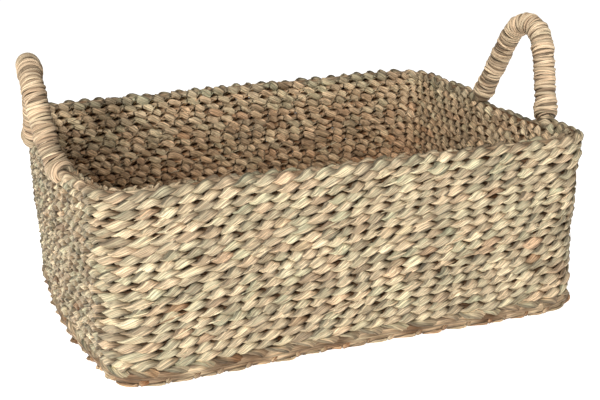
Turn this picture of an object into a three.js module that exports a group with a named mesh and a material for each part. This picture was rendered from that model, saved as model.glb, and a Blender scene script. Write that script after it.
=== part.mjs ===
import * as THREE from 'three';

// A rectangular magazine basket of seagrass plait. The plait goes round and round: on edge in
// the base, then lying flat, course on course, in the walls. At each end the top course leaves
// the wall and rises as the core of a handle, which a flat cord binds.
// Lengths are in millimetres. +X runs along the basket, -Y is its front and +Z is up. The
// origin is on the floor, under the middle of the whole.

// Body, measured outside and at the rim
const rimLength = 400;
const rimWidth = 320;
const cornerRadius = 33;
const endFlareWidth = 4.4;
const sideFlareWidth = 1.2;
const leftEndBow = 9;

// Plait
const plaitWidth = 12.2;
const plaitThickness = 6.2;
const seamGap = 0.3;
const wallCourseCount = 20;

// Handles: where each stands along its end wall, and the shape of the arch
const rightHandleCentre = -36;
const leftHandleCentre = -3;
const rightApexShift = -4;
const leftApexShift = 0;
const handleHalfSpread = 51;
const handleRise = 75;
const outwardLeanShare = 0.15;
const coreRadius = 6.2;

// Binding cord: a flat strand laid turn by turn, with an end tucked into the wall at each foot
const bindingLead = 21;
const bindingTurns = 24;
const bindingThickness = 2.4;
const bindingClearance = 0.45;
const bindingTurnGap = 0.95;
const tailWidth = 3;
const tailTurnRadius = 4;
const tailBendRadius = 1.9;
const tuckedCourse = 17;

// Facets
const cornerSteps = 4;
const baseCornerSteps = 3;
const bowSteps = 4;
const handleStations = 30;
const stepsPerTurn = 11;
const blendSteps = 3;

// Sections, from the foot of the outer face upwards and round: share of the depth into the
// wall, share of the height
const flatSectionShares = [
  [0, 0.3], [0, 0.7], [0.15, 1], [0.85, 1], [1, 0.7], [1, 0.3], [0.85, 0], [0.15, 0],
];
const edgeSectionShares = [
  [0, 0.12], [0, 0.88], [0.25, 1], [0.75, 1], [1, 0.88], [1, 0.12], [0.75, 0], [0.25, 0],
];
const baseSectionShares = [[0, 0], [0, 0.97], [0.5, 1], [1, 0.97], [1, 0]];
const strandSectionShares = [[-0.5, 0], [-0.3, -0.5], [0.3, -0.5], [0.5, 0], [0.3, 0.5], [-0.3, 0.5]];

// One half of a handle's arch, from the wall to the top: share of the half spread, share of the rise
const archShares = [
  [1.25, 0], [1.12, 0.015], [1.03, 0.065], [0.97, 0.15], [0.88, 0.28], [0.765, 0.44],
  [0.65, 0.61], [0.53, 0.77], [0.4, 0.89], [0.21, 0.972], [0, 1],
];
const rolledShare = 0.65;

const coursePitch = plaitThickness + seamGap;
const bodyHeight = plaitWidth + wallCourseCount * coursePitch;
const rimMiddle = bodyHeight - plaitThickness / 2;
const bindingRadius = coreRadius + bindingClearance + bindingThickness / 2;

const floorHalfWidth = rimWidth / 2 - sideFlareWidth;
const baseCourseCount = Math.round((floorHalfWidth - plaitThickness / 2) / coursePitch);
const basePitch = (floorHalfWidth - plaitThickness / 2) / baseCourseCount;

const seagrass = (color, roughness) => new THREE.MeshStandardMaterial({ color, roughness, metalness: 0 });
const plaitMaterial = () => seagrass(0xc8b78f, 0.85);
const edgeMaterial = () => seagrass(0xb9996a, 0.85);
const baseMaterial = () => seagrass(0xb5a37c, 0.9);
const bindingMaterial = () => seagrass(0xcfb38b, 0.8);

// The left end wall bulges most outside, and not at all along the middle of the base
function bowAt(inset) {
  return leftEndBow * (1 - 2 * inset / rimWidth);
}

// Plan of the basket at a height, counter-clockwise from its front right corner
function outline(inset, height, radius, steps) {
  const belowRim = 1 - height / bodyHeight;
  const halfX = rimLength / 2 - endFlareWidth * belowRim - inset;
  const halfY = rimWidth / 2 - sideFlareWidth * belowRim - inset;
  const points = [];
  [[1, -1], [1, 1], [-1, 1], [-1, -1]].forEach(([signX, signY], corner) => {
    for (let step = 0; step <= steps; step++) {
      const angle = (corner - 1 + step / steps) * Math.PI / 2;
      const x = signX * (halfX - radius) + radius * Math.cos(angle);
      const y = signY * (halfY - radius) + radius * Math.sin(angle);
      points.push(new THREE.Vector3(x, y, height));
    }
    if (signX < 0 && signY > 0) {
      points.push(...bulge(halfX, halfY - radius, bowAt(inset), height));
    }
  });
  return points;
}

// How far the left end wall bows at a place along it, from -1 to 1 between its corners
function bowShareAt(along) {
  const place = (1 - along) / 2 * bowSteps;
  const before = Math.min(Math.floor(place), bowSteps - 1);
  const [from, to] = [before, before + 1].map((step) => 1 - (1 - 2 * step / bowSteps) ** 2);
  return THREE.MathUtils.lerp(from, to, place - before);
}

// The points between the corners of the left end wall
function bulge(halfX, halfY, bow, height) {
  const points = [];
  for (let step = 1; step < bowSteps; step++) {
    const along = 1 - 2 * step / bowSteps;
    points.push(new THREE.Vector3(-halfX - bow * bowShareAt(along), along * halfY, height));
  }
  return points;
}

// A closed skin over rows of points. Each row has as many points, and the rows close on each other
// or end in flat caps.
function skin(rows, rowsClose, pointsClose) {
  const count = rows[0].length;
  const positions = rows.flat().flatMap((point) => point.toArray());
  const triangles = [];
  const lastRow = rowsClose ? rows.length : rows.length - 1;
  const lastPoint = pointsClose ? count : count - 1;
  for (let row = 0; row < lastRow; row++) {
    for (let i = 0; i < lastPoint; i++) {
      const here = row * count;
      const next = ((row + 1) % rows.length) * count;
      const j = (i + 1) % count;
      triangles.push(here + i, here + j, next + j, here + i, next + j, next + i);
    }
  }
  if (!rowsClose) {
    const last = (rows.length - 1) * count;
    for (let i = 1; i < count - 1; i++) {
      triangles.push(0, i + 1, i, last, last + i, last + i + 1);
    }
  }
  const geometry = new THREE.BufferGeometry();
  geometry.setAttribute('position', new THREE.Float32BufferAttribute(positions, 3));
  geometry.setIndex(triangles);
  geometry.computeVertexNormals();
  return geometry;
}

function named(name, geometry, material) {
  const mesh = new THREE.Mesh(geometry, material);
  mesh.name = name;
  return mesh;
}

function twoDigits(number) {
  return String(number).padStart(2, '0');
}

// A wall course: the plait lying flat on the course below
function wallCourse(number) {
  const foot = plaitWidth + seamGap + (number - 1) * coursePitch;
  const rows = flatSectionShares.map(([depth, up]) => {
    const inset = depth * plaitWidth;
    return outline(inset, foot + up * plaitThickness, cornerRadius - inset, cornerSteps);
  });
  return named(`wall_course_${twoDigits(number)}`, skin(rows, true, true), plaitMaterial());
}

// Corners of the base courses tighten evenly towards the middle strip
function baseCornerRadius(inset) {
  const middleInset = baseCourseCount * basePitch;
  return cornerRadius + (plaitThickness / 2 - cornerRadius) * inset / middleInset;
}

// A base course: the plait standing on edge against its neighbours
function baseCourse(number, name, shares, material) {
  const rows = shares.map(([depth, up]) => {
    const inset = number * basePitch + depth * (basePitch - seamGap);
    return outline(inset, up * plaitWidth, baseCornerRadius(inset), baseCornerSteps);
  });
  return named(name, skin(rows, true, true), material);
}

// The straight strip of plait that the base starts from
function baseCentre() {
  const radius = plaitThickness / 2;
  const halfLength = rimLength / 2 - endFlareWidth - baseCourseCount * basePitch - radius;
  const shape = new THREE.Shape();
  shape.absarc(halfLength, 0, radius, -Math.PI / 2, Math.PI / 2);
  shape.absarc(-halfLength, 0, radius, Math.PI / 2, 3 * Math.PI / 2);
  const geometry = new THREE.ExtrudeGeometry(shape, {
    depth: plaitWidth,
    bevelEnabled: false,
    curveSegments: baseCornerSteps,
  });
  return named('base_centre', geometry, baseMaterial());
}

// Where an end wall stands, at a depth inside its outer face, a place along it and a height
function endWallX(end, inset, y, height) {
  const belowRim = 1 - height / bodyHeight;
  const halfY = rimWidth / 2 - sideFlareWidth * belowRim - cornerRadius;
  const bow = end < 0 ? bowAt(inset) * bowShareAt(y / halfY) : 0;
  return end * (rimLength / 2 - endFlareWidth * belowRim - inset + bow);
}

// Centre line of the top course where it rises as a handle, in the order of the plan
function handleCurve({ end, centre, apexShift }) {
  const half = archShares.map(([across, up]) => [-across, up]);
  const whole = [...half, ...archShares.slice(0, -1).reverse()];
  const points = whole.map(([across, up]) => {
    const y = centre + end * across * handleHalfSpread + apexShift * up;
    const x = endWallX(end, plaitWidth / 2, y, bodyHeight) + end * outwardLeanShare * handleRise * up;
    return new THREE.Vector3(x, y, rimMiddle + handleRise * up);
  });
  return new THREE.CatmullRomCurve3(points, false, 'centripetal');
}

// Axes across a course: outwards from the basket, and square to that and to the course
function axesAcross(outwards, tangent) {
  const out = outwards.clone().addScaledVector(tangent, -outwards.dot(tangent)).normalize();
  return { out, up: new THREE.Vector3().crossVectors(out, tangent).normalize() };
}

// The plait's section at a station, rolled from flat to round where a handle's cord binds it
function plaitSection({ centre, tangent, outwards, rolled }) {
  const { out, up } = axesAcross(outwards, tangent);
  return flatSectionShares.map(([depth, height], corner) => {
    const angle = (corner - 0.5) * 2 * Math.PI / flatSectionShares.length;
    const flatOut = (0.5 - depth) * plaitWidth;
    const flatUp = (height - 0.5) * plaitThickness;
    const across = THREE.MathUtils.lerp(flatOut, coreRadius * Math.cos(angle), rolled);
    const above = THREE.MathUtils.lerp(flatUp, coreRadius * Math.sin(angle), rolled);
    return centre.clone().addScaledVector(out, across).addScaledVector(up, above);
  }).reverse();
}

function handleStationList({ end }, curve) {
  const length = curve.getLength();
  const stations = [];
  for (let i = 0; i <= handleStations; i++) {
    const share = i / handleStations;
    const fromWall = length * Math.min(share, 1 - share);
    stations.push({
      centre: curve.getPointAt(share),
      tangent: curve.getTangentAt(share),
      outwards: new THREE.Vector3(end, 0, 0),
      rolled: THREE.MathUtils.smoothstep(fromWall, 0, bindingLead * rolledShare),
    });
  }
  return stations;
}

// The top course: one closed run of plait, through both handles
function rimCourse(rightHandle, rightCurve, leftHandle, leftCurve) {
  const inset = plaitWidth / 2;
  const plan = outline(inset, rimMiddle, cornerRadius - inset, cornerSteps);
  const perCorner = cornerSteps + 1;
  const corner = (first) => plan.slice(first, first + perCorner).map((centre, step) => {
    const turn = Math.floor(first / perCorner) - 1 + step / cornerSteps;
    const outwards = new THREE.Vector3(Math.cos(turn * Math.PI / 2), Math.sin(turn * Math.PI / 2), 0);
    const tangent = new THREE.Vector3(-outwards.y, outwards.x, 0);
    return { centre, tangent, outwards, rolled: 0 };
  });
  const stations = [
    ...corner(0), ...handleStationList(rightHandle, rightCurve),
    ...corner(perCorner), ...corner(2 * perCorner), ...handleStationList(leftHandle, leftCurve),
    ...corner(plan.length - perCorner),
  ];
  const rows = stations.map(plaitSection);
  return named('rim_and_handle_course', skin(rows, true, true), plaitMaterial());
}

// A point on the round core's surface: distance along the handle, angle from the outwards
// direction, distance from the centre line
function onHandle({ end }, curve, along, angle, radius) {
  const share = along / curve.getLength();
  const tangent = curve.getTangentAt(share);
  const { out, up } = axesAcross(new THREE.Vector3(end, 0, 0), tangent);
  const normal = out.multiplyScalar(Math.cos(angle)).addScaledVector(up, Math.sin(angle));
  return { point: curve.getPointAt(share).addScaledVector(normal, radius), normal };
}

// How much a length along the core grows or shrinks on the outside or inside of its bend
function stretchAt(handle, curve, along, angle) {
  const reach = bindingThickness;
  const before = onHandle(handle, curve, along - reach, angle, bindingRadius).point;
  const after = onHandle(handle, curve, along + reach, angle, bindingRadius).point;
  return before.distanceTo(after) / (2 * reach);
}

// Inner face of an end wall where the cord's end is tucked in
function tuckPoint(end, y) {
  const height = plaitWidth + seamGap + (tuckedCourse - 0.5) * coursePitch - seamGap / 2;
  return new THREE.Vector3(endWallX(end, plaitWidth + seamGap, y, height), y, height);
}

// A tucked end, from the wall up to the handle
function tailStations(handle, curve, along) {
  const { end } = handle;
  const top = onHandle(handle, curve, along, Math.PI, bindingRadius);
  const inwards = new THREE.Vector3(-end, 0, 0);
  const upwards = new THREE.Vector3(0, 0, 1);
  const tuck = tuckPoint(end, top.point.y);
  const run = tuck.clone().addScaledVector(inwards, bindingThickness);
  const stations = [{ point: tuck, normal: upwards.clone().negate() }];
  for (let step = 0; step <= blendSteps; step++) {
    const bend = step / blendSteps * Math.PI / 2;
    const point = run.clone()
      .addScaledVector(inwards, tailBendRadius * Math.sin(bend))
      .addScaledVector(upwards, tailBendRadius * (1 - Math.cos(bend)));
    const normal = inwards.clone().multiplyScalar(Math.sin(bend)).addScaledVector(upwards, -Math.cos(bend));
    stations.push({ point, normal });
  }
  const { y } = top.point;
  const edge = endWallX(end, plaitWidth + seamGap + bindingThickness / 2, y, bodyHeight);
  stations.push({ point: new THREE.Vector3(edge, y, bodyHeight - seamGap), normal: inwards });
  return stations.map((station) => ({ ...station, width: tailWidth }));
}

// The quarter turn from a tucked end into the winding, on the core's surface
function turnInStations(handle, curve, start, forwards) {
  const stations = [];
  for (let step = 0; step < blendSteps; step++) {
    const turn = step / blendSteps * Math.PI / 2;
    const along = start - forwards * tailTurnRadius * (1 - Math.sin(turn));
    const angle = Math.PI + forwards * tailTurnRadius / bindingRadius * (1 - Math.cos(turn));
    stations.push({ ...onHandle(handle, curve, along, angle, bindingRadius), width: tailWidth });
  }
  return stations;
}

// The turns themselves, widening from the tucked end over the first half turn and narrowing
// again over the last
function windingStations(handle, curve, start, finish) {
  const lead = tailTurnRadius / bindingRadius;
  const sweep = 2 * Math.PI * bindingTurns - 2 * lead;
  const pitch = (finish - start) / (sweep / (2 * Math.PI));
  const steps = Math.round(sweep / (2 * Math.PI) * stepsPerTurn);
  const stations = [];
  for (let step = 0; step <= steps; step++) {
    const share = step / steps;
    const along = start + (finish - start) * share;
    const angle = Math.PI + lead + sweep * share;
    const widening = Math.min(1, 2 * Math.min(step, steps - step) / stepsPerTurn);
    const full = (pitch - bindingTurnGap) * stretchAt(handle, curve, along, angle);
    const width = THREE.MathUtils.lerp(tailWidth, full, widening);
    stations.push({ ...onHandle(handle, curve, along, angle, bindingRadius), width });
  }
  return stations;
}

// The flat strand's section at each station, square to its path
function strandRows(stations) {
  return stations.map(({ point, normal, width }, i) => {
    const before = stations[Math.max(i - 1, 0)].point;
    const after = stations[Math.min(i + 1, stations.length - 1)].point;
    const tangent = new THREE.Vector3().subVectors(after, before).normalize();
    const side = new THREE.Vector3().crossVectors(normal, tangent).normalize();
    const out = new THREE.Vector3().crossVectors(tangent, side);
    return strandSectionShares.map(([across, above]) => point.clone()
      .addScaledVector(side, across * width)
      .addScaledVector(out, above * bindingThickness));
  });
}

// Least distance between points of the winding that lie half a turn or more apart
function leastGap(rows) {
  let least = Infinity;
  const apart = Math.ceil(stepsPerTurn / 2);
  for (let a = 0; a < rows.length; a++) {
    for (let b = a + apart; b < Math.min(rows.length, a + 2 * stepsPerTurn); b++) {
      for (const p of rows[a]) {
        for (const q of rows[b]) {
          least = Math.min(least, p.distanceToSquared(q));
        }
      }
    }
  }
  return Math.sqrt(least);
}

// The cord that binds a handle: tucked end, turns, tucked end, as one unbroken strand
function handleBinding(name, handle, curve) {
  const start = bindingLead;
  const finish = curve.getLength() - bindingLead;
  const stations = [
    ...tailStations(handle, curve, start - tailTurnRadius),
    ...turnInStations(handle, curve, start, 1),
    ...windingStations(handle, curve, start, finish),
    ...turnInStations(handle, curve, finish, -1).reverse(),
    ...tailStations(handle, curve, finish + tailTurnRadius).reverse(),
  ];
  const rows = strandRows(stations);
  console.log(`${name}: least gap between turns ${leastGap(rows).toFixed(2)} mm`);
  return named(name, skin(rows, false, true), bindingMaterial());
}

function basket() {
  const rightHandle = { end: 1, centre: rightHandleCentre, apexShift: rightApexShift };
  const leftHandle = { end: -1, centre: leftHandleCentre, apexShift: leftApexShift };
  const rightCurve = handleCurve(rightHandle);
  const leftCurve = handleCurve(leftHandle);
  const body = new THREE.Group();
  body.add(baseCentre());
  for (let number = baseCourseCount - 1; number > 0; number--) {
    const name = `base_course_${twoDigits(baseCourseCount - number)}`;
    body.add(baseCourse(number, name, baseSectionShares, baseMaterial()));
  }
  body.add(baseCourse(0, 'base_edge_course', edgeSectionShares, edgeMaterial()));
  for (let number = 1; number < wallCourseCount; number++) {
    body.add(wallCourse(number));
  }
  body.add(rimCourse(rightHandle, rightCurve, leftHandle, leftCurve));
  body.add(handleBinding('right_handle_binding', rightHandle, rightCurve));
  body.add(handleBinding('left_handle_binding', leftHandle, leftCurve));
  body.position.x = -new THREE.Box3().setFromObject(body).getCenter(new THREE.Vector3()).x;
  return body;
}

const magazineBasket = new THREE.Group();
magazineBasket.add(basket());

export default magazineBasket;
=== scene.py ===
import math
from dataclasses import dataclass

import bmesh
import bpy
import numpy as np
from bpy.props import FloatProperty, IntProperty, PointerProperty
from mathutils import Matrix, Vector


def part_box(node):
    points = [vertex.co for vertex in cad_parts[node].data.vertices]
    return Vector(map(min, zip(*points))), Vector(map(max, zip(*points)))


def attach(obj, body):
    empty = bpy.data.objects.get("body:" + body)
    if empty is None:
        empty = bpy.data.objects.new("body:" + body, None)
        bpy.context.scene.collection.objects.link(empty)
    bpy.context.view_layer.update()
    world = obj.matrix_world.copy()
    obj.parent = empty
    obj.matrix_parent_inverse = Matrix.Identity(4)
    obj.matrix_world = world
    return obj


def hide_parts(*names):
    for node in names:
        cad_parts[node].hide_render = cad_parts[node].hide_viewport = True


bl_info = {
    "name": "Seagrass Magazine Basket",
    "version": (1, 0, 0),
    "blender": (4, 5, 0),
    "location": "View3D > Sidebar > Basket",
    "description": "Rectangular basket of sewn seagrass plait with a cord-bound handle on each end",
    "category": "Add Mesh",
}

MM = 0.001

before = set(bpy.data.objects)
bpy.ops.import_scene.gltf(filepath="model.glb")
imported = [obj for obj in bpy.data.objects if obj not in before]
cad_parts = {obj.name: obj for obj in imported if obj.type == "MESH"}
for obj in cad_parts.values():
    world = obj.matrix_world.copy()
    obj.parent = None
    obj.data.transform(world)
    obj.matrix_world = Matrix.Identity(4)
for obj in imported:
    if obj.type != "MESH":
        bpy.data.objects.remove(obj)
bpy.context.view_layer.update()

WALL_COURSES = sorted(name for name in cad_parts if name.startswith("wall_course_"))
BASE_COURSES = sorted(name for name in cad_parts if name.startswith("base_course_"))
EDGE_COURSE = "base_edge_course"
BASE_CENTRE = "base_centre"
RIM_COURSE = "rim_and_handle_course"

# The topmost wall course, which is the largest. Its plan is centred a little off the origin, because
# the left end bows out and both handles lean.
WALL_LOW, WALL_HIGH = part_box(WALL_COURSES[-1])
COURSE_PITCH = (WALL_LOW.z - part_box(WALL_COURSES[0])[0].z) / (len(WALL_COURSES) - 1)

# Plan positions, as signs of X and Y: front right, back right, back left, front left
CORNERS = ((1, -1), (1, 1), (-1, 1), (-1, -1))

# Distance between a line's stations, and ridges on a strand: for courses that show, and for the base
FINE = (2 * MM, 7)
PLAIN = (3 * MM, 4)


class BasketBody(bpy.types.PropertyGroup):
    """Sizes of the body that the plait follows"""
    corner_radius: FloatProperty(
        name="Corner radius", description="Radius of the outer face at the four corners",
        default=33 * MM, min=15 * MM, max=80 * MM, unit="LENGTH")
    end_bow: FloatProperty(
        name="End bow", description="How far the left end wall bulges outwards at its middle",
        default=9 * MM, min=0, max=20 * MM, unit="LENGTH")
    slack: FloatProperty(
        name="Slack", description="How far the hand-sewn courses wander in and out and up and down",
        default=0.7 * MM, min=0, max=2 * MM, unit="LENGTH")


class BasketPlait(bpy.types.PropertyGroup):
    """Sizes of the three-strand plait"""
    width: FloatProperty(
        name="Plait width", description="Width of the flat plait, which is the wall's thickness",
        default=12.2 * MM, min=6 * MM, max=20 * MM, unit="LENGTH")
    thickness: FloatProperty(
        name="Plait thickness", description="Thickness of the flat plait, which is a course's height",
        default=6.2 * MM, min=3 * MM, max=10 * MM, unit="LENGTH")
    leaf_pitch: FloatProperty(
        name="Leaf pitch", description="Distance from one leaf to the next along an edge of the plait",
        default=14.4 * MM, min=8 * MM, max=25 * MM, unit="LENGTH")
    strand_width: FloatProperty(
        name="Strand width", description="Width of one flattened strand of grass",
        default=7 * MM, min=3 * MM, max=10 * MM, unit="LENGTH")
    strand_thickness: FloatProperty(
        name="Strand thickness", description="Thickness of one flattened strand of grass",
        default=2.5 * MM, min=1 * MM, max=5 * MM, unit="LENGTH")
    loose_fibres: IntProperty(
        name="Loose fibres", description="Split fibres that have come up off the walls",
        default=620, min=0, max=2000)
    unevenness: FloatProperty(
        name="Unevenness", description="How much leaves differ in size and place",
        default=1, min=0, max=2, subtype="FACTOR")


class BasketHandles(bpy.types.PropertyGroup):
    """Sizes of the two handles"""
    right_centre: FloatProperty(
        name="Right centre", description="Place of the right handle along its end wall",
        default=-36 * MM, min=-80 * MM, max=80 * MM, unit="LENGTH")
    left_centre: FloatProperty(
        name="Left centre", description="Place of the left handle along its end wall",
        default=-3 * MM, min=-80 * MM, max=80 * MM, unit="LENGTH")
    apex_shift: FloatProperty(
        name="Right apex shift", description="How far the right handle's top leans towards the front",
        default=-4 * MM, min=-20 * MM, max=20 * MM, unit="LENGTH")
    half_spread: FloatProperty(
        name="Half spread", description="Half the distance between a handle's feet",
        default=51 * MM, min=30 * MM, max=70 * MM, unit="LENGTH")
    rise: FloatProperty(
        name="Rise", description="Height of the handle's centre line above the rim",
        default=75.5 * MM, min=30 * MM, max=120 * MM, unit="LENGTH")
    left_drop: FloatProperty(
        name="Left drop", description="How much lower the left handle stands",
        default=4 * MM, min=0, max=20 * MM, unit="LENGTH")
    lean: FloatProperty(
        name="Lean", description="Share of the rise by which a handle leans outwards",
        default=0.15, min=0, max=0.5, subtype="FACTOR")
    core_radius: FloatProperty(
        name="Core radius", description="Radius of the rolled plait inside the binding",
        default=6.4 * MM, min=4 * MM, max=10 * MM, unit="LENGTH")
    cord_width: FloatProperty(
        name="Cord width", description="Width of the binding cord on the handle",
        default=2.7 * MM, min=1 * MM, max=6 * MM, unit="LENGTH")
    cord_thickness: FloatProperty(
        name="Cord thickness", description="Thickness of the binding cord",
        default=2.5 * MM, min=1 * MM, max=4 * MM, unit="LENGTH")
    turns: IntProperty(
        name="Turns", description="Turns of cord on each handle", default=72, min=24, max=90)
    bound_from: FloatProperty(
        name="Binding start", description="Distance along the handle where the binding starts",
        default=16.5 * MM, min=5 * MM, max=40 * MM, unit="LENGTH")


class BasketColours(bpy.types.PropertyGroup):
    """Colours of the dry grass, as sRGB hex numbers"""
    straw: IntProperty(name="Straw", description="Most leaves", default=0xDCC9A6)
    green: IntProperty(name="Grey-green", description="Leaves dried in the shade", default=0xC4BF9C)
    tan: IntProperty(name="Pinkish tan", description="Older leaves", default=0xD0AF8C)
    # Brown is also mixed in as painted shade: at leaf ends that dive under their neighbours, in the blades
    # seen in the gaps and on the walls' inside
    brown: IntProperty(name="Brown", description="The few leaf butts and stained leaves", default=0x8A5A32)
    cord: IntProperty(name="Cord", description="The handles' binding cord", default=0xF8DCB8)
    floor: IntProperty(name="Floor", description="The studio floor", default=0xF4F3F1)


def settings():
    """The scene, which holds the basket's groups of sizes and colours"""
    return bpy.context.scene


def linear(hex_colour):
    """Linear red, green and blue of an sRGB hex colour"""
    channels = [(hex_colour >> shift & 0xFF) / 0xFF for shift in (16, 8, 0)]
    return [c / 12.92 if c <= 0.04045 else ((c + 0.055) / 1.055) ** 2.4 for c in channels]


# Lines that the plait follows

def closed_tangents(points):
    """Unit tangents of a closed line, as the mean of the two directions at each point"""
    ahead = np.roll(points, -1, axis=0) - points
    ahead /= np.linalg.norm(ahead, axis=1)[:, None]
    return unit(ahead + np.roll(ahead, 1, axis=0))


def open_tangents(points):
    """Unit tangents of an open line"""
    ahead = np.diff(points, axis=0)
    ahead /= np.linalg.norm(ahead, axis=1)[:, None]
    ahead = np.vstack([ahead[:1], ahead, ahead[-1:]])
    return unit(ahead[1:] + ahead[:-1])


def tangents_of(points, closed):
    """Unit tangents of a line"""
    return closed_tangents(points) if closed else open_tangents(points)


def unit(vectors):
    """The vectors at a length of 1"""
    return vectors / np.linalg.norm(vectors, axis=1)[:, None]


def square_to(vectors, tangents):
    """The vectors made square to the tangents, as unit vectors"""
    return unit(vectors - np.sum(vectors * tangents, axis=1)[:, None] * tangents)


def evenly(points, spacing, closed):
    """Points of a line spaced evenly, near a spacing, with the line's length"""
    line = np.vstack([points, points[:1]]) if closed else points
    steps = np.linalg.norm(np.diff(line[:, :3], axis=0), axis=1)
    travelled = np.concatenate([[0], np.cumsum(steps)])
    length = travelled[-1]
    count = max(1, round(length / spacing))
    places = np.linspace(0, length, count + 1)[:count if closed else None]
    return np.column_stack([np.interp(places, travelled, column) for column in line.T]), length


def plan_line(half_length, half_width, radius, bow, height):
    """A course's line, counter-clockwise from the front right corner, about the plan's centre"""
    corner_points, bow_points = 25, 41
    stretches = []
    for corner, (sign_x, sign_y) in enumerate(CORNERS):
        turn = np.linspace(corner - 1, corner, corner_points) * math.pi / 2
        stretches.append(np.column_stack([
            sign_x * (half_length - radius) + radius * np.cos(turn),
            sign_y * (half_width - radius) + radius * np.sin(turn),
        ]))
        if (sign_x, sign_y) == (-1, 1) and bow:
            along = np.linspace(1, -1, bow_points)[1:-1]
            stretches.append(np.column_stack([
                -half_length - bow * (1 - along ** 2),
                along * (half_width - radius),
            ]))
    line = np.vstack(stretches)
    return np.column_stack([line, np.full(len(line), height)])


def plan_of(node, inset, bow_share=1):
    """Centre, half length and half width of a node's plan at an inset from its outer face, and the bow"""
    low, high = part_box(node)
    bow = settings().basket_body.end_bow * bow_share
    centre_x = (high.x + low.x + bow) / 2
    return centre_x, (high.x - low.x - bow) / 2 - inset, (high.y - low.y) / 2 - inset, bow


def outwards_of(tangents):
    """Level directions that point out of the basket from a counter-clockwise line"""
    level = np.column_stack([tangents[:, 1], -tangents[:, 0], np.zeros(len(tangents))])
    return unit(level)


# Unevenness of hand work

def drift(points, size, seed):
    """A smooth random value near -1 to 1 for each point, that changes over a distance of about size"""
    random = np.random.default_rng(seed)
    total = np.zeros(len(points))
    # A wave is 0.6 to 1.4 times as close as size says. The sum mostly stays within 1.5 of its spread.
    waves, usual_most = 7, 1.5
    for _ in range(waves):
        direction = random.normal(size=3)
        direction *= (0.6 + 0.8 * random.random()) * 2 * math.pi / size / np.linalg.norm(direction)
        total += np.cos(points @ direction + random.random() * 2 * math.pi)
    return total * math.sqrt(2 / waves) / usual_most


# Millimetres by which the sewn basket departs from its even plan. Corners are in the order front
# left, front right, back right, back left, and sides are front, right, back, left.
RIM_CORNER_DROPS = (1.3, 0.8, -0.4, -1.9)
RIM_SIDE_DROPS = (-0.8, -2.0, 0.9, -4.3)
RIM_CORNER_SHIFTS = ((0.6, 0.4), (-1.0, 1.2), (3.5, -1.6), (-1.9, -0.7))
MIDDLE_CORNER_SHIFTS = ((-1.0, 0), (-4.4, 0.4), (0, 0), (0, 0))
FOOT_CORNER_SHIFTS = ((0.8, -3.5), (-2.0, 3.0), (0, 0), (-0.9, 2.3))
FOOT_SIDE_SHIFTS = (0, 0, 0, -2.4)
# How far the foot of the front wall stands in or out, at even places from its left to its right
FRONT_FOOT_SHIFTS = (0, -2.5, -3.0, 0.6, 0, -1.0, -4.5, -6.0, 0)


def settle(points):
    """Moves points of the even basket to where the sewn one has them"""
    middle = (WALL_LOW + WALL_HIGH) / 2
    half = (WALL_HIGH - WALL_LOW) / 2
    x = (points[:, 0] - middle.x) / half.x
    y = (points[:, 1] - middle.y) / half.y
    up = np.clip(points[:, 2] / WALL_HIGH.z, 0, 1)
    left, right, front, back = (1 - x) / 2, (1 + x) / 2, (1 - y) / 2, (1 + y) / 2
    corners = np.column_stack([left * front, right * front, right * back, left * back])
    sides = np.column_stack([
        (1 - x ** 2) * front, (1 - y ** 2) * right, (1 - x ** 2) * back, (1 - y ** 2) * left])
    drop = corners @ RIM_CORNER_DROPS + sides @ RIM_SIDE_DROPS
    shift = (corners @ RIM_CORNER_SHIFTS) * up[:, None] + (corners @ FOOT_CORNER_SHIFTS) * (1 - up)[:, None]
    shift += (corners @ MIDDLE_CORNER_SHIFTS) * np.sin(math.pi * up)[:, None]
    bulge = sides * FOOT_SIDE_SHIFTS * (1 - up)[:, None]
    knots = np.linspace(-1, 1, len(FRONT_FOOT_SHIFTS))
    bulge[:, 0] += np.interp(x, knots, FRONT_FOOT_SHIFTS) * front * (1 - up) ** 1.5
    moved = points.copy()
    moved[:, 0] += (shift[:, 0] + bulge[:, 3]) * MM
    moved[:, 1] += (shift[:, 1] + bulge[:, 0]) * MM
    moved[:, 2] += drop * up * MM
    return moved


# The plait

@dataclass
class Look:
    """How a kind of course is plaited. Of each pair, the first is for the outer or upper face and the
    second for the inner or lower one."""
    # Share of brown leaves, and stain of the others, which on the walls' inside is partly painted shade
    rare_browns: tuple
    stains_and_shade: tuple
    # Leaf length as a share of the usual one
    pitch: float
    # Size of a strand where it crosses the plait's middle, and where it shows as a leaf
    crossing: float
    leaf: float
    # Size of the blades that run straight on inside, and how brown and dark they are painted, as shade in
    # the gaps between leaves
    inside: float
    inside_shade: float
    # How flat leaves lie along the face, and how much flatter on the basket's inside
    flatness: float = 0.16
    inner_flatness: float = 0
    # How much fuller the plait is at the basket's corners
    corners: float = 0
    # Painted light: how much lighter the leaves on the inner face are made, and their size
    inner_painted_light: float = 0.12
    inner_size: float = 1


def wall_look(height):
    """The look of a wall course at a height. The inside is browner, partly stain and partly painted shade;
    painted shade darkens it towards the base and painted light brightens its leaves towards the rim.
    """
    share = height / WALL_HIGH.z
    return Look(
        rare_browns=(0.02, 0.02), stains_and_shade=(0.03, 0.9 - 0.58 * share), pitch=1, crossing=0.78, leaf=1.22,
        inside=0.8, inside_shade=0.85, inner_flatness=0.1, inner_painted_light=0.17 + 0.64 * share ** 2.2)


RIM_LOOK = Look(
    rare_browns=(0.02, 0.03), stains_and_shade=(0.05, 0.12), pitch=1, crossing=0.95, leaf=1.14,
    inside=0.75, inside_shade=0.4)
EDGE_LOOK = Look(
    rare_browns=(0.12, 0.6), stains_and_shade=(0.02, 0.4), pitch=1.35, crossing=0.9, leaf=1.2,
    inside=1.5, inside_shade=0.45, flatness=0.14, inner_size=0.72)
BASE_LOOK = Look(
    rare_browns=(0.02, 0.02), stains_and_shade=(0.2, 0.2), pitch=1.25, crossing=1.0, leaf=1.1,
    inside=1.3, inside_shade=0.6, flatness=0.1, corners=0.45)


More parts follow.
